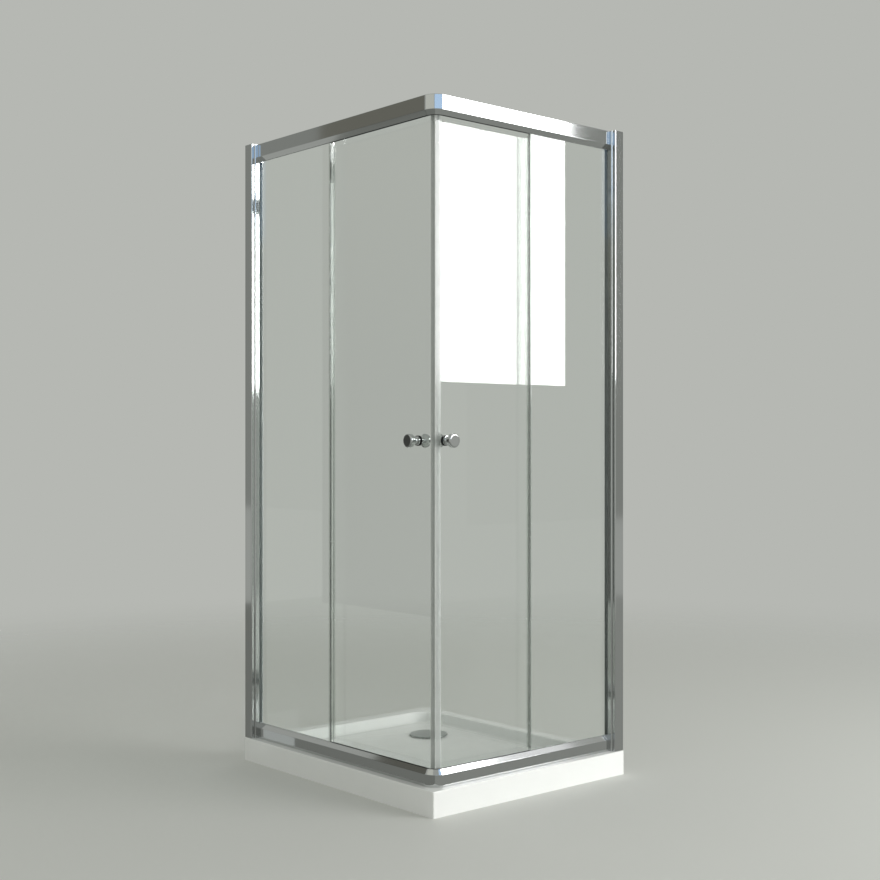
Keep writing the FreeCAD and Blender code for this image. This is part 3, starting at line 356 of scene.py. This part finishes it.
# %% Acrylic
ACRYLIC_IOR = 1.49
ACRYLIC_ROUGHNESS = 0.16, 0.26
ACRYLIC_LIGHT, ACRYLIC_DARK = "#f3f4f2", "#eff0ee"
ORANGE_PEEL_MM, WIPE_MM = 5, 60
PEEL_BUMP = {"Strength": 0.04, "Distance": 0.0003}
finish = new_finish("sanitary acrylic")
place = add_node(finish, "ShaderNodeTexCoord", {})
peel = add_node(
    finish,
    "ShaderNodeTexNoise",
    {"Scale": per_metre(ORANGE_PEEL_MM), "Detail": 1},
    {"Vector": place.outputs["Object"]},
)
wiped = add_node(
    finish,
    "ShaderNodeTexNoise",
    {"Scale": per_metre(WIPE_MM), "Detail": 3},
    {"Vector": place.outputs["Object"]},
)
smooth, rough = ACRYLIC_ROUGHNESS
gloss = add_node(
    finish,
    "ShaderNodeMapRange",
    {"From Min": NOISE_LOW, "From Max": NOISE_HIGH, "To Min": smooth, "To Max": rough},
    {"Value": wiped.outputs["Fac"]},
)
peeled = add_node(finish, "ShaderNodeBump", PEEL_BUMP, {"Height": peel.outputs["Fac"]})
shade = add_node(
    finish,
    "ShaderNodeMix",
    {"data_type": "RGBA", "A": linear(ACRYLIC_LIGHT), "B": linear(ACRYLIC_DARK)},
    {"Factor": wiped.outputs["Fac"]},
)
plastic = add_node(
    finish,
    "ShaderNodeBsdfPrincipled",
    {"IOR": ACRYLIC_IOR},
    {
        "Base Color": shade.outputs["Result"],
        "Roughness": gloss.outputs[0],
        "Normal": peeled.outputs[0],
    },
)
add_node(finish, "ShaderNodeOutputMaterial", {}, {"Surface": plastic.outputs[0]})
finishes["white_acrylic"] = finish
print(finish.name, "with roughness", ACRYLIC_ROUGHNESS)

# %% [markdown]
# ## Plastics, rubber and plain metal
#
# The remaining finishes are alike in build: one colour with a little mottling, and a
# roughness that varies by the same noise. A table holds what differs, and one loop makes
# them.

# %% Plain finishes from a table
PLAIN_FINISHES = {
    # slot: name, darker and lighter colour, roughness range, metallic, IOR, grain in mm
    "black_rubber": ("moulded black rubber", "#121313", "#1d1e1e", 0.55, 0.75, 0, 1.52, 0.8),
    "raw_aluminium": ("unpolished aluminium", "#d9dbda", "#e4e6e5", 0.55, 0.7, 1, 1.5, 3),
    "magnet_rubber": (
        "magnetic strip in a pale sheath", "#c6c9c8", "#d2d5d4", 0.6, 0.8, 0, 1.52, 1
    ),
    "white_acetal": ("turned white acetal", "#e4e4df", "#eeeeea", 0.3, 0.42, 0, 1.48, 1.5),
    "grey_acetal": ("moulded grey acetal", "#a3a6a6", "#b0b3b3", 0.35, 0.5, 0, 1.48, 1.2),
    "stainless_steel": ("stainless steel", "#a9a9a6", "#bcbcb9", 0.22, 0.36, 1, 1.5, 0.9),
    "waste_plastic": ("moulded polypropylene", "#d9d9d4", "#e4e4e0", 0.4, 0.55, 0, 1.49, 1.4),
    "waste_chrome": ("satin chrome on plastic", "#a2a7a6", "#adb2b1", 0.3, 0.36, 1, 1.5, 45),
}
GRAIN_BUMP = {"Strength": 0.06, "Distance": 0.0002}
for slot, row in PLAIN_FINISHES.items():
    name, dark, light, smooth, rough, metallic, ior, grain = row
    finish = new_finish(name)
    place = add_node(finish, "ShaderNodeTexCoord", {})
    mottle = add_node(
        finish,
        "ShaderNodeTexNoise",
        {"Scale": per_metre(grain), "Detail": 2},
        {"Vector": place.outputs["Object"]},
    )
    tone = add_node(
        finish,
        "ShaderNodeMix",
        {"data_type": "RGBA", "A": linear(dark), "B": linear(light)},
        {"Factor": mottle.outputs["Fac"]},
    )
    gloss = add_node(
        finish,
        "ShaderNodeMapRange",
        {"From Min": NOISE_LOW, "From Max": NOISE_HIGH, "To Min": smooth, "To Max": rough},
        {"Value": mottle.outputs["Fac"]},
    )
    grainy = add_node(finish, "ShaderNodeBump", GRAIN_BUMP, {"Height": mottle.outputs["Fac"]})
    surface = add_node(
        finish,
        "ShaderNodeBsdfPrincipled",
        {"Metallic": metallic, "IOR": ior},
        {
            "Base Color": tone.outputs["Result"],
            "Roughness": gloss.outputs[0],
            "Normal": grainy.outputs[0],
        },
    )
    add_node(finish, "ShaderNodeOutputMaterial", {}, {"Surface": surface.outputs[0]})
    finishes[slot] = finish
print(len(finishes), "finishes beside the chromed extrusions")

# %% [markdown]
# ## Dress the construction
#
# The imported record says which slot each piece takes. The extrusions pick the chrome whose
# lines run along their longest side, and the seals along the panes take the clearer vinyl.

# %% Give every piece its finish
def longest_axis(name):
    """The index of the axis along which a piece reaches furthest."""
    low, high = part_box(name)
    return int(np.argmax(np.array(high) - np.array(low)))


for part in frame["record"]["subparts"]:
    name, slot = part["node"], part["material_slot"]
    if slot == "chromed_aluminium":
        dress = chromed_extrusions[longest_axis(name)]
    elif name.startswith(("pane_seals", "back_seal")):
        dress = finishes["pane_vinyl"]
    else:
        dress = finishes[slot]
    piece = nodes[name]
    piece.data.materials.clear()
    piece.data.materials.append(dress)

# %% [markdown]
# ## Inside the posts
#
# Polishing wheels reach the outside of an extrusion, but not the floor of the deep slot that
# takes the glass, nor the inner leg behind the pane. Those faces stay as the die left them:
# bright metal, but dull, so that nothing flashes from inside a slot. They are found by where
# they look, away from the wall along their side, and by where they lie in the section.

# %% Raw faces
SLOT_DEPTH, LEG = 0.005, 0.003
FROM_WALL = -0.9  # below it, a normal looks away from the wall
for side, axis in (("left", 1), ("right", 0)):
    for name in ("post_" + side, "wall_profile_" + side):
        mesh = nodes[name].data
        flat = np.zeros(3 * len(mesh.polygons))
        mesh.polygons.foreach_get("normal", flat)
        facing = flat.reshape(-1, 3)[:, axis] < FROM_WALL
        mesh.polygons.foreach_get("center", flat)
        depth, inward = flat.reshape(-1, 3)[:, [axis, 1 - axis]].T
        deep = depth > depth.min() + SLOT_DEPTH
        raw = facing & (deep | (inward > inward.max() - LEG))
        mesh.materials.append(finishes["raw_aluminium"])
        mesh.polygons.foreach_set("material_index", raw.astype(int))
        print(name, raw.sum(), "raw faces")

# %% [markdown]
# ## Screws with a cross recess
#
# Three pan-head screws hold each post in its wall profile. The construction has them as plain
# buttons. Here each one is turned again from a profile, and a cross is pressed into its dome,
# as a header does it in one blow. A mesh of rings allows that: its points are known by ring
# and turn, so the cross is taken off all of them at once.

# %% One screw
HEAD_RADIUS, HEAD_DEPTH, SHANK_RADIUS, SHANK_LENGTH = 0.0038, 0.002, 0.002, 0.007
DOME_SHARE = 0.9  # of the ellipse's half width, beyond which the rim drops straight
CROSS_REACH, CROSS_HALF_WIDTH, CROSS_DEPTH = 0.0024, 0.0006, 0.0011
WALL_SLOPE, TIP_SLOPE = 1.6, 3


def cross_screw(rings=40, turns=96):
    """A dome along an ellipse, less a cross, then the rim, seat and shank.

    The cross at a point is its depth times a ramp across an arm and a ramp along it, and the
    deeper of the two arms counts. Returns points of shape (profile, turn, 3), head along +Z.
    """
    share = np.linspace(0, 1, rings)
    dome = HEAD_DEPTH * np.sqrt(1 - (DOME_SHARE * share) ** 2)
    radius = np.r_[HEAD_RADIUS * share, HEAD_RADIUS, SHANK_RADIUS, SHANK_RADIUS, 0]
    height = np.r_[dome, 0, 0, -SHANK_LENGTH, -SHANK_LENGTH]
    angle = np.linspace(0, 2 * np.pi, turns, endpoint=False)
    x, y = radius[:, None] * np.cos(angle), radius[:, None] * np.sin(angle)
    z = np.repeat(height[:, None], turns, 1)

    def arm(across, along):
        wide = np.clip(WALL_SLOPE * (1 - np.abs(across) / CROSS_HALF_WIDTH), 0, 1)
        return wide * np.clip(TIP_SLOPE * (1 - np.abs(along) / CROSS_REACH), 0, 1)

    pressed = CROSS_DEPTH * np.maximum(arm(x, y), arm(y, x))
    z[:rings] -= pressed[:rings]
    return np.stack([x, y, z], -1)


plain = cross_screw()
print(plain.shape[0], "rings of", plain.shape[1], "points in a screw")

# %% [markdown]
# ## The screws in their places
#
# The new screws take the place of the plain ones, in the same spots and no larger. The box of
# the plain ones says where: at three heights, on the inner face of each post. All six are one
# piece, as in the construction.

# %% Post screws
CREASE_DEGREES = 35


def ring_faces(profile, turns):
    """Quads between neighbouring rings, closed round the turn."""
    step, turn = np.meshgrid(np.arange(profile - 1), np.arange(turns), indexing="ij")
    after = (turn + 1) % turns
    corners = [step * turns + turn, (step + 1) * turns + turn]
    corners += [(step + 1) * turns + after, step * turns + after]
    return np.stack(corners, -1).reshape(-1, 4)


def add_mesh(name, points, faces, finish):
    """A new object at the origin, from points and faces, in one finish."""
    mesh = bpy.data.meshes.new(name)
    mesh.from_pydata(points, [], faces)
    mesh.materials.append(finish)
    added = bpy.data.objects.new(name, mesh)
    bpy.context.scene.collection.objects.link(added)
    return added


low, high = (np.array(corner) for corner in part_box("post_screws"))
levels = (low[2] + HEAD_RADIUS, (low[2] + high[2]) / 2, high[2] - HEAD_RADIUS)
across = plain[..., [2, 0, 1]]
into = plain[..., [0, 2, 1]] * (-1, 1, 1)
spots = [(across, (low[0] + SHANK_LENGTH, high[1] - HEAD_RADIUS, z)) for z in levels]
spots += [(into, (high[0] - HEAD_RADIUS, low[1] + SHANK_LENGTH, z)) for z in levels]
points = np.concatenate([(shape + spot).reshape(-1, 3) for shape, spot in spots])
one = ring_faces(*plain.shape[:2])
faces = np.concatenate([one + k * plain[..., 0].size for k in range(len(spots))])
steel = finishes["stainless_steel"]
screws = add_mesh("post_cross_screws", points, faces.tolist(), steel)
screws.data.shade_smooth()
screws.data.set_sharp_from_angle(angle=math.radians(CREASE_DEGREES))
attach(screws, "frame")
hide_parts("post_screws")
print(len(faces), "faces in", len(spots), "screws")

# %% [markdown]
# ## Springs that give
#
# In each release unit a coil of steel wire pushes the slider with the lower wheel up. The
# construction has the coil at rest. Pressing the slider shortens a real coil by the stroke
# while its lower end stays on the floor of its case, so each coil is wound again here as a
# piece of its own, with its lower end on the floor of its case.

# %% Release springs
WIRE_RADIUS, COIL_TURNS = 0.0004, 5


def coil_spring(radius, height, steps=180, turns=14):
    """A round wire along a helix of constant pitch, its two ends cut square and closed.

    Each ring lies across the wire: one of its axes points out of the helix, the other is the
    cross product of that and the wire's heading. Returns points of shape (step, turn, 3).
    """
    sweep = 2 * np.pi * COIL_TURNS * np.r_[0, np.linspace(0, 1, steps), 1]
    thick = WIRE_RADIUS * np.r_[0, np.ones(steps), 0]
    out = np.stack([np.cos(sweep), np.sin(sweep), 0 * sweep], -1)
    climb = height / (2 * np.pi * COIL_TURNS)
    heading = np.stack([-radius * out[:, 1], radius * out[:, 0], climb + 0 * sweep], -1)
    over = np.cross(heading, out) / math.hypot(radius, climb)
    line = radius * out
    line[:, 2] = climb * sweep
    angle = np.linspace(0, 2 * np.pi, turns, endpoint=False)[:, None]
    ring = np.cos(angle) * out[:, None] + np.sin(angle) * over[:, None]
    return line[:, None] + thick[:, None, None] * ring


for joint in frame["record"]["behaviour"]["joints"]:
    for spring in joint.get("deforming_nodes", []):
        low, high = (np.array(corner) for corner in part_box(spring["node"]))
        length = high[2] - low[2]
        radius = (high[0] - low[0]) / 2 - WIRE_RADIUS
        wound = coil_spring(radius, length - 2 * WIRE_RADIUS)
        foot = (*(low + high)[:2] / 2, low[2])
        points = wound.reshape(-1, 3) + foot + (0, 0, WIRE_RADIUS)
        name = spring["node"].replace("release_spring", "wound_spring")
        coil = add_mesh(name, points, ring_faces(*wound.shape[:2]).tolist(), steel)
        coil.data.shade_smooth()
        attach(coil, joint["parent"])
        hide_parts(spring["node"])
        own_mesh(coil)

# %% [markdown]
# ## Studio
#
# A pale grey room without corners: the world is one even grey that the chrome and the glass
# mirror, and a matt floor fades into it with the distance. A real studio has a sheet of paper
# that curves up behind the object. A floor that turns clear needs no curve, and it looks the
# same from every side.

# %% World and floor
ROOM, FLOOR = "#b6b8b3", "#dcddd9"
FLOOR_ROUGHNESS = 0.75
FLOOR_CLEAR, FLOOR_REACH = 1.2, 5.0
ONE_FACE = [(0, 1, 2, 3)]
world = bpy.data.worlds.new("even grey room")
bpy.context.scene.world = world
world.use_nodes = True
world.node_tree.nodes["Background"].inputs["Color"].default_value = linear(ROOM)

finish = new_finish("pale studio floor")
place = add_node(finish, "ShaderNodeTexCoord", {})
away = add_node(
    finish, "ShaderNodeVectorMath", {"operation": "LENGTH"}, {0: place.outputs["Object"]}
)
fade = add_node(
    finish,
    "ShaderNodeMapRange",
    {"interpolation_type": "SMOOTHSTEP", "From Min": FLOOR_CLEAR, "From Max": FLOOR_REACH},
    {"Value": away.outputs["Value"]},
)
matt = add_node(
    finish,
    "ShaderNodeBsdfPrincipled",
    {"Base Color": linear(FLOOR), "Roughness": FLOOR_ROUGHNESS},
)
clear = add_node(finish, "ShaderNodeBsdfTransparent", {})
blend = add_node(
    finish,
    "ShaderNodeMixShader",
    {},
    {"Fac": fade.outputs[0], 1: matt.outputs[0], 2: clear.outputs[0]},
)
add_node(finish, "ShaderNodeOutputMaterial", {}, {"Surface": blend.outputs[0]})

square = [(-1, -1), (1, -1), (1, 1), (-1, 1)]
floor_corners = [(x * FLOOR_REACH, y * FLOOR_REACH, 0) for x, y in square]
floor = add_mesh("floor", floor_corners, ONE_FACE, finish)
print("floor of", 2 * FLOOR_REACH, "m, clear beyond")

# %% [markdown]
# ## Lamps
#
# Three wide soft lamps light the tray and the floor: two from the right, where the light is
# strongest, and a weak one from the left. No reflection shows them. What the chrome mirrors
# can then be chosen apart from how bright the tray is.

# %% Three soft lamps
LAMPS = (
    # name, place, what it is aimed at, width and height in metres, watts
    ("soft box", (2.25, -4.0, 2.36), (0.0, -0.45, 0.6), (3.3, 1.98), 56),
    ("low fill", (2.4, -4.6, 0.7), (0.0, -0.45, 0.1), (3.0, 1.2), 122),
    ("left fill", (-3.6, -0.6, 2.4), (0.0, 0.0, 0.2), (4.6, 0.9), 9),
)
for name, spot, target, size, watts in LAMPS:
    light = bpy.data.lights.new(name, "AREA")
    light.shape = "RECTANGLE"
    light.size, light.size_y = size
    light.energy = watts
    lamp = bpy.data.objects.new(name, light)
    lamp.location = spot
    aim = np.subtract(target, spot)
    yaw = math.atan2(aim[1], aim[0]) - math.pi / 2
    pitch = math.atan2(aim[2], math.hypot(aim[0], aim[1])) + math.pi / 2
    lamp.rotation_euler = (pitch, 0, yaw)
    lamp.visible_glossy = False
    lamp.visible_transmission = False
    bpy.context.scene.collection.objects.link(lamp)
    print(name, "of", watts, "W")

# %% [markdown]
# ## Cards to mirror
#
# Chrome looks like chrome only if it mirrors something dark beside something bright, and glass
# shows itself by a bright reflection. Upright cards stand round the object, as a photographer
# sets them: a very bright panel to the right for the short side's glass and upper rail, pale
# strips in front and to the left for the rounded corners, a small panel high up for the bevel
# of the lower right rail, and grey cards beside them. Reflections show them and the camera
# doesn't, but two of them also show through glass.

# %% Upright cards
GREY, WHITE, SKY = "#969893", "#ffffff", "#c3dffe"


def add_card(name, corners, tone, top=None, span=(0, 1), strength=1, through_glass=False):
    """A flat card that glows in one tone, or from one to another over a span of heights."""
    finish = new_finish(name)
    place = add_node(finish, "ShaderNodeTexCoord", {})
    height = add_node(finish, "ShaderNodeSeparateXYZ", {}, {"Vector": place.outputs["Object"]})
    rise = add_node(
        finish,
        "ShaderNodeMapRange",
        {"From Min": span[0], "From Max": span[1]},
        {"Value": height.outputs["Z"]},
    )
    shade = add_node(
        finish,
        "ShaderNodeMix",
        {"data_type": "RGBA", "A": linear(tone), "B": linear(top or tone)},
        {"Factor": rise.outputs[0]},
    )
    glow = add_node(
        finish, "ShaderNodeEmission", {"Strength": strength}, {"Color": shade.outputs["Result"]}
    )
    add_node(finish, "ShaderNodeOutputMaterial", {}, {"Surface": glow.outputs[0]})
    card = add_mesh(name, corners, ONE_FACE, finish)
    for kind in ("camera", "diffuse", "shadow", "volume_scatter"):
        setattr(card, "visible_" + kind, False)
    card.visible_transmission = through_glass


def upright(start, end, low, high):
    """The corners of an upright card over a line from start to end on the floor."""
    return [(*start, low), (*end, low), (*end, high), (*start, high)]


panel = upright((0.6, -4.0), (3.9, -4.0), 1.37, 3.35)
add_card("bright panel", panel, WHITE, strength=9, through_glass=True)
high_panel = upright((8.5, -10.0), (12.5, -10.0), 6.6, 9.0)
add_card("high panel", high_panel, WHITE, strength=1.1)
add_card("front strip", upright((-4.4, -4.0), (0.6, -4.0), 2.4, 3.3), SKY, strength=1.25)
add_card("side strip", upright((-3.6, -2.9), (-3.6, 1.7), 2.4, 3.3), "#dadbd2")
near_left = upright((-3.0, 2.2), (-3.0, 3.72), 0.0, 4.0)
add_card("left card", near_left, "#4b4c49", "#7a7970", (1.4, 2.6), through_glass=True)
add_card("far left card", upright((-10.0, 12.0), (-10.0, 34.0), 0.0, 6.4), GREY)
add_card("far front card", upright((8.5, -10.0), (26.0, -10.0), 0.0, 6.4), GREY)
print("seven cards stand round the object")

# %% [markdown]
# ## Cards near the floor
#
# The lower rails and the undersides of the upper ones mirror the floor, and a floor as pale as
# the studio's would leave them flat. Two grey cards lie on it, one for each open side, and meet
# along a line through the outer corner. They glow and show only in reflections, a painted
# reflection of a darker floor, and the left one is darker still as painted shade, where the
# cabin shades the floor on its left. A small pale card stands by the far end of the lower left
# rail, which mirrors it: a painted reflection on the rail's end.

# %% Lying cards
CARD_LIFT, CARD_REACH = 0.001, 4.0
OUTER_CORNER = (-0.375, -0.45)


def lying(points):
    """The corners of a card just above the floor, over places on the plan."""
    return [(x, y, CARD_LIFT) for x, y in points]


near, right, far, left = ((x * CARD_REACH, y * CARD_REACH) for x, y in square)
# The left card is painted shade: darker than the front one, where the cabin shades the floor.
add_card("left floor shade card", lying([near, OUTER_CORNER, far, left]), "#82847f")
add_card("front floor card", lying([near, right, far, OUTER_CORNER]), "#9c9e99")
# A painted reflection, pale on the end of the lower left rail.
add_card("rail end card", upright((-0.556, 0.5), (-0.435, 0.5), 0.0, 0.12), "#b9bdba")
print("two cards lie on the floor, and one stands by the lower left rail")

# %% [markdown]
# ## Camera
#
# The camera stands at about breast height, well back from the corner, with a lens a little
# longer than normal. It is level, which keeps the uprights parallel, and a small upward shift
# of the lens puts the object in the middle instead of a tilt.

# %% Camera
CAMERA_PLACE = (-2.7103, -3.158, 0.9778)
CAMERA_YAW_DEGREES = -41.06
SENSOR_MM, LENS_MM, SHIFT_UP = 36, 55.95, 0.0059
lens = bpy.data.cameras.new("camera")
lens.sensor_width = SENSOR_MM
lens.lens = LENS_MM
lens.shift_y = SHIFT_UP
camera = bpy.data.objects.new("camera", lens)
camera.location = CAMERA_PLACE
camera.rotation_euler = (math.pi / 2, 0, math.radians(CAMERA_YAW_DEGREES))
bpy.context.scene.collection.objects.link(camera)
bpy.context.scene.camera = camera
bpy.context.scene.view_settings.view_transform = "Standard"
print("camera at", CAMERA_PLACE, "with a lens of", LENS_MM, "mm")
